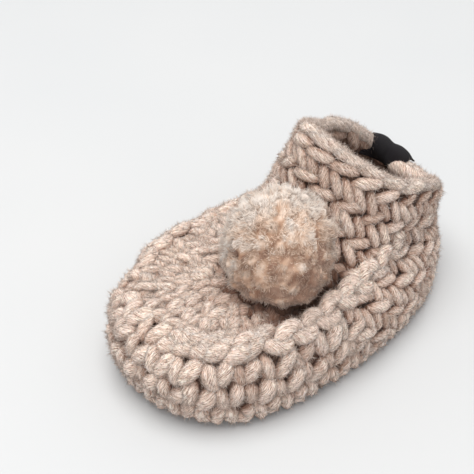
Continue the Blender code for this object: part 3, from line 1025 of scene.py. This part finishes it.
def hairs(name, spines, radius, facing, finish):
    """A mesh of closed, three-sided hairs that take the light as the surface they stand on."""
    count, steps, _ = spines.shape
    way = unit(spines[:, -1] - spines[:, 0])
    side = unit(np.cross(way, HAIR_ASIDE))
    other = np.cross(way, side)
    share = np.arange(steps - 1) / (steps - 1)
    wide = radius[:, None] * (1 - HAIR_TAPER * share)
    angle = turns(HAIR_SIDES)
    ring = side[:, None] * np.cos(angle)[:, None] + other[:, None] * np.sin(angle)[:, None]
    rings = spines[:, :-1, None] + ring[:, None] * wide[..., None, None]
    vertices = np.concatenate([rings.reshape(count, -1, 3), spines[:, -1:]], axis=1).reshape(-1, 3)
    tip = HAIR_SIDES * (steps - 1)
    base = np.arange(count)[:, None, None] * (tip + 1)
    i = np.arange(HAIR_SIDES)
    last = tip - HAIR_SIDES
    point = np.stack([last + i, last + (i + 1) % HAIR_SIDES, np.full(HAIR_SIDES, tip)], axis=-1)
    groups = [(np.concatenate([point, [i[::-1]]]) + base).reshape(-1, 3)]
    if steps > 2:
        groups.append((ring_faces(steps - 1, HAIR_SIDES) + base).reshape(-1, 4))
    piece = mesh_object(name, vertices, groups, finish)
    piece.data.normals_split_custom_set_from_vertices(np.repeat(facing, tip + 1, axis=0).tolist())
    add_attribute(piece, "reach", np.tile(np.append(np.repeat(share, HAIR_SIDES), 1.0), count))
    return piece


def add_paleness(piece, pale):
    """Gives each hair of a piece its own paleness."""
    add_attribute(piece, "pale", np.repeat(pale, len(piece.data.vertices) // len(pale)))


# Loose fibres lying along the yarn and standing out of it
FUZZ_FROM = -0.6  # they lie on yarn above this height, in millimetres
FUZZ_SHORT = 0.4  # millimetres
FUZZ_LONG = 2.0
FUZZ_RARITY = 1.6  # the higher, the fewer are long
FUZZ_RADIUS = 0.062 * MM
FUZZ_STAND = (0.2, 1.4)
FUZZ_TANGLE = 0.7
FUZZ_LEAN = 0.3  # how much they take the light as they lean
FLOOR_GAP = 0.1 * MM
BAND_FIBRES = 21500
VAMP_FIBRES = 32500
CUFF_FIBRES = 42000
SOLE_FIBRES = 7000


def make_fuzz(name, yarns, count, seed):
    rng = np.random.default_rng(seed)
    points, facing, flow, crown = (
        np.concatenate([getattr(yarn, values) for yarn in yarns])
        for values in ("points", "facing", "flow", "crown"))
    chosen = rng.choice(np.flatnonzero(crown > FUZZ_FROM), count)
    root = points[chosen]
    facing = facing[chosen]
    forward = rng.choice([-1.0, 1.0], (count, 1))
    stand = rng.uniform(*FUZZ_STAND, (count, 1))
    tangle = rng.normal(scale=FUZZ_TANGLE, size=(count, 3))
    way = unit(flow[chosen] * forward + stand * facing + tangle)
    reach = FUZZ_SHORT + (FUZZ_LONG - FUZZ_SHORT) * rng.uniform(size=(count, 1)) ** FUZZ_RARITY
    tip = root + way * reach * MM
    tip[:, 2] = np.maximum(tip[:, 2], FLOOR_GAP)
    lit = unit(facing + FUZZ_LEAN * way)
    piece = hairs(name, np.stack([root, tip], axis=1), np.full(count, FUZZ_RADIUS), lit, FUZZ)
    add_paleness(piece, rng.uniform(size=count))
    return piece


# The pompom: a soft lumpy core under a pile of fine fibres that fan out of its locks
LOCKS = 620
LOCK_SCATTER = 0.03  # how unevenly they are spread
LOCK_HEIGHTS = (0.2, 1.0)
LOCK_RISE = 0.9 * MM  # how far a lock bulges
LOCK_SPREAD = 0.085  # radians
LOCK_LEAN = 0.5
LOCK_CURL = 0.9
LOCK_TINT = 0.23  # how far locks differ in paleness
LOCK_CREASE_SHADE = 0.44  # painted shade: how much paler a lock's crown is than its foot, in the creases between locks
PALE_AND_LIT_WAY = np.array([-0.12, -0.65, 0.75])  # the wool pales this way, partly as its own colour and partly as painted light from above and behind
CORE_DEPTH = 1.2 * MM  # how far the core lies under the solid's surface
CORE_RINGS = 56
CORE_SIDES = 108
CORE_REACH = 0.4  # how far up the painted shade at the fibres' roots goes on the core's crowns
TOP_GROWTH = 0.8 * MM  # how much further the core stands at the top
TOP_RAMP = 1.5  # and how quickly it does so above the middle
SEAT_GROWTH = 2.2 * MM  # and at the seat, most towards the toe
SEAT_WAY = np.array([0.72, 0.35, -0.60])
FIBRES = 19500
FIBRE_TOP = np.array([1.8, 3.4])  # least and greatest length at the pompom's top, in millimetres
FIBRE_SEAT = np.array([0.8, 1.6])  # and at its seat
FIBRE_ROOT = 0.2  # millimetres that it starts under the core
FIBRE_RADIUS = (0.05, 0.09)  # millimetres
FIBRE_FAN = 0.8
FIBRE_SCATTER = 0.22
FIBRE_CURL = 0.3
FIBRE_TINT = 0.22  # how far fibres differ in paleness at the seat
TOP_EVENNESS = 0.12  # and how much less at the top
FAN_LIGHT = 0.35  # how much a fibre takes the light as it fans out
LEAN_LIGHT = 0.25  # and as it leans


def even_directions(count):
    """Directions spread evenly all round."""
    i = np.arange(count) + 0.5
    z = 1 - 2 * i / count
    turn = i * math.pi * (3 - math.sqrt(5))
    flat = np.sqrt(1 - z * z)
    return np.stack([flat * np.cos(turn), flat * np.sin(turn), z], axis=-1)


def pompom_reach(ways):
    """How far the pompom reaches from its middle each way."""
    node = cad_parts["pompom"]
    points = [node.matrix_world @ vertex.co for vertex in node.data.vertices]
    tree = BVHTree.FromPolygons(points, [tuple(face.vertices) for face in node.data.polygons])
    hits = [tree.ray_cast(POMPOM_CENTRE, Vector(way))[3] for way in ways.tolist()]
    at_top = TOP_GROWTH * smooth(ways[:, 2] * TOP_RAMP)
    return np.array(hits) + at_top + SEAT_GROWTH * smooth(ways @ SEAT_WAY)


class Wool:
    """The pompom's locks: where they bulge, how fibres lean in them and how pale they are."""

    def __init__(self, ways):
        rng = np.random.default_rng(SEED + 9)
        scatter = rng.normal(scale=LOCK_SCATTER, size=(LOCKS, 3))
        self.axes = unit(even_directions(LOCKS) + scatter)
        rise = rng.uniform(*LOCK_HEIGHTS, LOCKS)
        tint = rng.normal(scale=LOCK_TINT, size=LOCKS)
        self.lean = rng.normal(scale=LOCK_LEAN, size=(LOCKS, 3))
        self.curl = rng.normal(scale=LOCK_CURL, size=(LOCKS, 3))
        near = ways @ self.axes.T
        off = np.arccos(np.clip(near, -1, 1)) / LOCK_SPREAD
        bulge = rise * np.exp(-off ** 2)
        self.lock = np.argmax(bulge, axis=1)
        self.height = np.max(bulge, axis=1)
        # Paleness: the way up is partly the wool's own colour and partly painted light, the locks' feet
        # take painted shade, and the tint differs at random
        self.pale = 0.5 + 0.5 * ways @ PALE_AND_LIT_WAY + tint[self.lock] + LOCK_CREASE_SHADE * (self.height - 0.5)
        reach = pompom_reach(ways) - CORE_DEPTH + LOCK_RISE * (self.height - 0.5)
        self.points = np.array(POMPOM_CENTRE) + ways * reach[:, None]


def make_pompom_core():
    rise = np.linspace(-math.pi / 2, math.pi / 2, CORE_RINGS)[1:-1, None]
    turn = turns(CORE_SIDES)
    ways = np.stack([
        np.cos(rise) * np.cos(turn),
        np.cos(rise) * np.sin(turn),
        np.broadcast_to(np.sin(rise), (len(rise), len(turn))),
    ], axis=-1).reshape(-1, 3)
    wool = Wool(np.concatenate([ways, [[0, 0, -1.0], [0, 0, 1.0]]]))
    faces = [ring_faces(len(rise), CORE_SIDES), tip_faces(len(rise), CORE_SIDES)]
    piece = mesh_object("pompom_core", wool.points, faces, WOOL)
    add_attribute(piece, "pale", wool.pale)
    add_attribute(piece, "reach", CORE_REACH * wool.height)
    return piece


def make_pompom_pile():
    rng = np.random.default_rng(SEED + 12)
    ways = unit(rng.normal(size=(FIBRES, 3)))
    wool = Wool(ways)
    root = wool.points - ways * FIBRE_ROOT * MM
    fan = ways - wool.axes[wool.lock]
    lean = wool.lean[wool.lock] + rng.normal(scale=FIBRE_SCATTER, size=(FIBRES, 3))
    start = unit(ways + FIBRE_FAN * fan + lean)
    upper = smooth(0.5 + ways @ PALE_AND_LIT_WAY)
    least, most = (FIBRE_SEAT + (FIBRE_TOP - FIBRE_SEAT) * upper[:, None]).T
    reach = (least + (most - least) * rng.uniform(size=FIBRES))[:, None] * MM
    bend = root + start * reach * 0.5
    curl = wool.curl[wool.lock] * (1 - 0.5 * upper[:, None])
    curl = curl + rng.normal(scale=FIBRE_CURL, size=(FIBRES, 3))
    tip = bend + unit(start + curl) * reach * 0.5
    facing = unit(ways + FAN_LIGHT * fan + LEAN_LIGHT * lean)
    radius = rng.uniform(*FIBRE_RADIUS, FIBRES) * MM
    piece = hairs("pompom_pile", np.stack([root, bend, tip], axis=1), radius, facing, WOOL)
    add_paleness(piece, wool.pale + rng.normal(size=FIBRES) * (FIBRE_TINT - TOP_EVENNESS * upper))
    return piece


# The ribbon label: folded loosely over the rim
LABEL_COLUMNS = 27
LABEL_STEPS = 16
LABEL_LOFT = 2.2 * MM  # how far the fold stands off the rim in its middle
SIDE_LOFT = 0.4  # and what share of that is left where it comes down beside the rim
LABEL_SLANT = 0.3  # how much the loft leans to one end of the fold
FOLD_POWER = 4  # how flat the loft is along the fold
FOLD_LEAN = 2  # and how much flatter towards the first end
LABEL_DENT = 0.8 * MM  # how deep the fold is dented
DENT_PLACE = -0.05  # where, from one end of the fold (-1) to the other (1)
DENT_WIDTH = 0.22
LABEL_SHIFT = math.radians(-3)  # how far round the rim the fold has slid
LABEL_SKEW = math.radians(11)  # and how far the inner end has swung back
RIBBON_THICKNESS = 0.5 * MM


def label_path(turn, away, loft):
    """Rows of points along the ribbon: up inside the cuff, over the lip and down outside."""
    inside = (RIM_ROW - THROAT_ROW) * LABEL_INSIDE
    outside = (RIM_ROW - THROAT_ROW) * LABEL_OUTSIDE
    path = []
    for row in np.linspace(RIM_ROW - inside, RIM_ROW, LABEL_STEPS):
        near_fold = smooth(1 - (RIM_ROW - row) / inside)
        swung = turn + LABEL_SKEW * (1 - near_fold)
        path.append(inner_wall(row, swung, away + loft * SIDE_LOFT * near_fold))
    for angle in np.linspace(math.pi, 0, LABEL_STEPS + 1)[1:-1]:
        rib = CUFF_RIB * (1 - angle / math.pi)
        share = SIDE_LOFT + (1 - SIDE_LOFT) * math.sin(angle)
        path.append(lip(angle, turn, away + rib + loft * share))
    for row in np.linspace(RIM_ROW, RIM_ROW - outside, LABEL_STEPS):
        near_fold = smooth(1 - (RIM_ROW - row) / outside)
        path.append(outer_wall(row, turn, CUFF_RIB + away + loft * SIDE_LOFT * near_fold))
    return path


def make_label():
    ends = section_point(RIM_ROW, np.array([LABEL_TURN, LABEL_TURN + STEP]))
    reach = LABEL_WIDTH / 2 * STEP / np.linalg.norm(ends[1] - ends[0])
    across = np.linspace(-1, 1, LABEL_COLUMNS)
    turn = LABEL_TURN + LABEL_SHIFT + reach * across
    dent = LABEL_DENT * np.exp(-((across - DENT_PLACE) / DENT_WIDTH) ** 2)
    loft = LABEL_LOFT * (1 - np.abs(across) ** (FOLD_POWER - FOLD_LEAN * across))
    loft = loft * (1 - LABEL_SLANT * across) - dent
    near = label_path(turn, GAP, loft)
    far = label_path(turn, GAP + RIBBON_THICKNESS, loft)
    rings = [np.concatenate([below, above[::-1]]) for below, above in zip(near, far)]
    size = 2 * LABEL_COLUMNS
    i = np.arange(LABEL_COLUMNS - 1)
    cap = np.stack([i, i + 1, size - 2 - i, size - 1 - i], axis=-1)
    faces = [ring_faces(len(rings), size), cap, cap[:, ::-1] + (len(rings) - 1) * size]
    label = mesh_object("label_ribbon", np.concatenate(rings), faces, RIBBON)
    along = distance_along([row[LABEL_COLUMNS // 2] for row in far])
    weave = np.zeros((len(rings), size, 3))
    weave[..., 0] = np.concatenate([across, across[::-1]]) * LABEL_WIDTH / 2
    weave[..., 1] = along[:, None]
    add_attribute(label, "weave", weave.reshape(-1, 3) / MM)
    return label


# The sole: rounds of legs below and above, and an edge round
SOLE_ROUNDS = 6
SOLE_HAND = Looseness(0.10, 0.07, 0.05)
SOLE_PITCH = 5.2 * MM
SOLE_LEG = [
    Knot(0.3, -3.1, -1.5, 0.85),
    Knot(0.6, -1.6, -0.5, 1.20),
    Knot(1.2, 0.0, -0.4, 1.40),
    Knot(1.7, 1.4, -0.5, 1.30),
    Knot(1.9, 3.0, -1.5, 0.85),
]
INSOLE_START = 0.3  # rounds from the sole's flat edge to the first round on top
INSOLE_PITCH = 6.4 * MM
INSOLE_TO = 32.0 * MM  # further forward the vamp hides the sole's top
INSOLE_LEG = [
    Knot(0.2, -3.6, -0.9, 1.0),
    Knot(0.7, -1.8, 0.7, 2.0),
    Knot(1.6, 0.2, 1.1, 2.4),
    Knot(2.4, 2.0, 0.7, 2.0),
    Knot(2.9, 3.6, -0.9, 1.0),
]
EDGE_RING = SoleRing(0.2, 0.75)
EDGE_PHASE = 0.2
EDGE_HAND = Looseness(0.22, 0.16, 0.09)
EDGE_LEG = [
    Knot(-0.6, -3.4, -1.6, 1.4),
    Knot(-1.1, -1.9, 0.0, 2.0),
    Knot(-1.9, 0.0, 0.6, 2.3),
    Knot(-2.7, 1.8, 0.5, 2.2),
    Knot(-3.3, 3.6, -1.2, 1.5),
]
SOLE_CORE_LIFT = np.array([0, 0, 1.5 * MM])  # from the underside up to the core
SOLE_CORE_EDGE = [SoleRing(2.4, 0.4), SoleRing(2.4, 0.7), SoleRing(2.4, 0.95)]
SOLE_CORE_TOP = SoleRing(5.4, 1.0)


def make_sole():
    yarn = Yarn(SEED + 6, steps=7, sides=7)
    for i in range(SOLE_ROUNDS):
        course = Course(sole_inside(i / SOLE_ROUNDS, turns(360)))
        places = course.places(SOLE_PITCH, phase=0.5 * (i % 2))
        yarn.lay_both(course, places, SOLE_LEG, hand=SOLE_HAND)
    return yarn.mesh("sole_stitches", YARN)


def make_insole():
    """Stitches on the sole's top."""
    turn = turns(240)
    raise_up = np.array([0, 0, SOLE_THICKNESS])
    skin = search_tree([sole_inside(share, turn) + raise_up for share in np.linspace(0, 1, 9)])
    yarn = Yarn(SEED + 14, steps=8, sides=8)
    for i in range(SOLE_ROUNDS):
        course = Course(sole_inside((i + INSOLE_START) / SOLE_ROUNDS, turn) + raise_up, skin=skin)
        places = course.places(INSOLE_PITCH, phase=0.5 * (i % 2))
        places = places[course.points_at(places)[:, 0] < INSOLE_TO]
        yarn.lay_both(course, places, INSOLE_LEG, hand=SOLE_HAND)
    return yarn.mesh("insole_stitches", YARN)


def make_edge():
    yarn = Yarn(SEED + 7, steps=13, sides=12)
    course = Course(sole_ring(EDGE_RING, turns(720)))
    yarn.lay_both(course, course.places(PITCH, phase=EDGE_PHASE), EDGE_LEG, hand=EDGE_HAND)
    return yarn.mesh("sole_edge_stitches", YARN)


def make_sole_core():
    turn = turns(240)
    rings = [sole_inside(share, turn) + SOLE_CORE_LIFT for share in np.linspace(1, 0, 9)]
    rings += [sole_ring(edge, turn) for edge in SOLE_CORE_EDGE]
    rings += [towards_spine(sole_ring(SOLE_CORE_TOP, turn), share) for share in np.linspace(0, 1, 9)]
    # The sole's core is coloured with painted shade
    return mesh_object("sole_core", np.concatenate(rings), [ring_faces(len(rings), len(turn))], PAINTED_SHADE_YARN)


# Floor, light and camera
FLOOR_HALF = 3.0
FLOOR_CORNERS = [(-1, -1, 0), (1, -1, 0), (1, 1, 0), (-1, 1, 0)]
SKY = (0.98, 0.99, 1.0, 1.0)
SKY_STRENGTH = 0.78
LIT_PLACE = Vector((0, 0, 0.02))
Lamp = namedtuple("Lamp", "name place size power colour")  # metres and watts
LAMPS = [
    Lamp("key", (0.12, -0.08, 1.15), 1.0, 11.7, (1.0, 0.99, 0.97)),
    Lamp("fill", (0.50, 0.65, 0.60), 1.0, 2.3, (1.0, 0.99, 0.98)),
]


def make_floor():
    f = Finish("floor", {"Roughness": 0.7})
    grain = f.noise(f.place(), scale=8.0, detail=2.0)
    f.colour(f.ramp(grain, [(0.3, (0.545, 0.552, 0.558)), (0.7, (0.565, 0.568, 0.57))]))
    corners = np.array(FLOOR_CORNERS) * FLOOR_HALF
    floor = mesh_object("floor", corners, [np.array([[0, 1, 2, 3]])], f.material)


def look_at(thing, target):
    thing.rotation_mode = "QUATERNION"
    thing.rotation_quaternion = (target - thing.location).to_track_quat("-Z", "Y")


def make_light():
    world = bpy.data.worlds.new("studio")
    world.use_nodes = True
    sky = world.node_tree.nodes["Background"]
    sky.inputs["Color"].default_value = SKY
    sky.inputs["Strength"].default_value = SKY_STRENGTH
    bpy.context.scene.world = world
    for lamp in LAMPS:
        data = bpy.data.lights.new(lamp.name, "AREA")
        data.shape = "DISK"
        data.size = lamp.size
        data.energy = lamp.power
        data.color = lamp.colour
        made = bpy.data.objects.new(lamp.name, data)
        made.location = lamp.place
        look_at(made, LIT_PLACE)
        bpy.context.scene.collection.objects.link(made)


def make_camera():
    data = bpy.data.cameras.new("camera")
    data.sensor_width = SENSOR
    data.lens = SENSOR * LENS_PIXELS / IMAGE_SIDE
    data.clip_start = 0.01
    camera = bpy.data.objects.new("camera", data)
    away = Vector((
        math.sin(VIEW_AZIMUTH) * math.cos(VIEW_ELEVATION),
        -math.cos(VIEW_AZIMUTH) * math.cos(VIEW_ELEVATION),
        math.sin(VIEW_ELEVATION),
    ))
    camera.location = VIEW_TARGET + away * VIEW_DISTANCE
    look_at(camera, VIEW_TARGET)
    bpy.context.scene.collection.objects.link(camera)
    bpy.context.scene.camera = camera


make_floor()
make_light()
make_camera()
upper_yarn = [make_band(), make_vamp(), make_braid(), make_cuff(), make_rim()]
fuzz = [
    make_fuzz("band_fuzz", upper_yarn[:1], BAND_FIBRES, SEED + 10),
    make_fuzz("vamp_fuzz", upper_yarn[1:3], VAMP_FIBRES, SEED + 11),
    make_fuzz("cuff_fuzz", upper_yarn[3:], CUFF_FIBRES, SEED + 13),
]
for piece in [make_wall(), make_inside().piece] + fuzz + [yarn.piece for yarn in upper_yarn]:
    dress(piece, "upper")
sole_edge = make_edge()
sole_fuzz = make_fuzz("sole_fuzz", [sole_edge], SOLE_FIBRES, SEED + 15)
for piece in (make_sole_core(), make_sole().piece, make_insole().piece, sole_edge.piece, sole_fuzz):
    dress(piece, "sole")
for piece in (make_pompom_core(), make_pompom_pile()):
    dress(piece, "pompom")
dress(make_label(), "label")
bpy.context.scene.view_settings.view_transform = "Standard"
